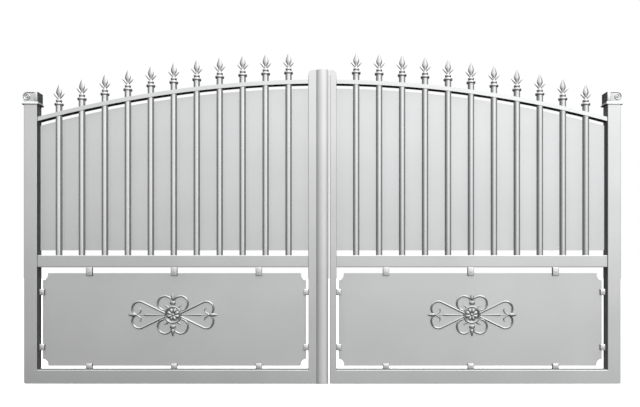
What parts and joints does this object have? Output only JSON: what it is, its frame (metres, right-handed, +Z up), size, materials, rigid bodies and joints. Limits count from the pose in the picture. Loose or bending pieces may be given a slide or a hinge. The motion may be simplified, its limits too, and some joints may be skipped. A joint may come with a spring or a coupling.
{
  "type": "aluminium double swing gate",
  "caption": "Double swing gate in satin aluminium: arched top rail over spear-topped bars, sheet panels with cast scroll rosettes, capped stiles and wall-plate hinges.",
  "frame": {"origin": "centre of the lower left gudgeon plate's face on the pillar, level with the hinge axes", "axes": "+X along the closed gate to the right, +Y inwards through the gate, the way the leaves open, +Z up"},
  "size_m": [3.028, 0.125, 1.6734],
  "materials": {
    "frame": "satin",
    "bars": "satin",
    "sheet": "fine satin",
    "castings": "satin cast",
    "hinges": "galvanised"
  },
  "bodies": {
    "gudgeons": {"left_lower_gudgeon": "hinges", "left_upper_gudgeon": "hinges", "right_lower_gudgeon": "hinges", "right_upper_gudgeon": "hinges"},
    "left_leaf": {"left_hinge_stile": "frame", "left_meeting_stile": "frame", "left_bottom_rail": "frame", "left_middle_rail": "frame", "left_top_rail": "frame", "left_bars": "bars", "left_finials": "castings", "left_upper_panel": "sheet", "left_lower_panel": "sheet", "left_panel_clips": "castings", "left_rosette": "castings", "left_stile_cap": "castings", "left_meeting_cap": "frame", "left_lower_hinge": "hinges", "left_upper_hinge": "hinges", "cover_strip": "frame"},
    "right_leaf": {"right_hinge_stile": "frame", "right_meeting_stile": "frame", "right_bottom_rail": "frame", "right_middle_rail": "frame", "right_top_rail": "frame", "right_bars": "bars", "right_finials": "castings", "right_upper_panel": "sheet", "right_lower_panel": "sheet", "right_panel_clips": "castings", "right_rosette": "castings", "right_stile_cap": "castings", "right_meeting_cap": "frame", "right_lower_hinge": "hinges", "right_upper_hinge": "hinges"}
  },
  "joints": [
    {"name": "left_leaf_swing", "type": "hinge", "parent": "gudgeons", "child": "left_leaf", "pos_m": [0.02, 0, 0], "axis": [0, 0, 1], "range_deg": [0, 90]},
    {"name": "right_leaf_swing", "type": "hinge", "parent": "gudgeons", "child": "right_leaf", "pos_m": [3.008, 0, 0], "axis": [0, 0, -1], "range_deg": [0, 90]}
  ]
}
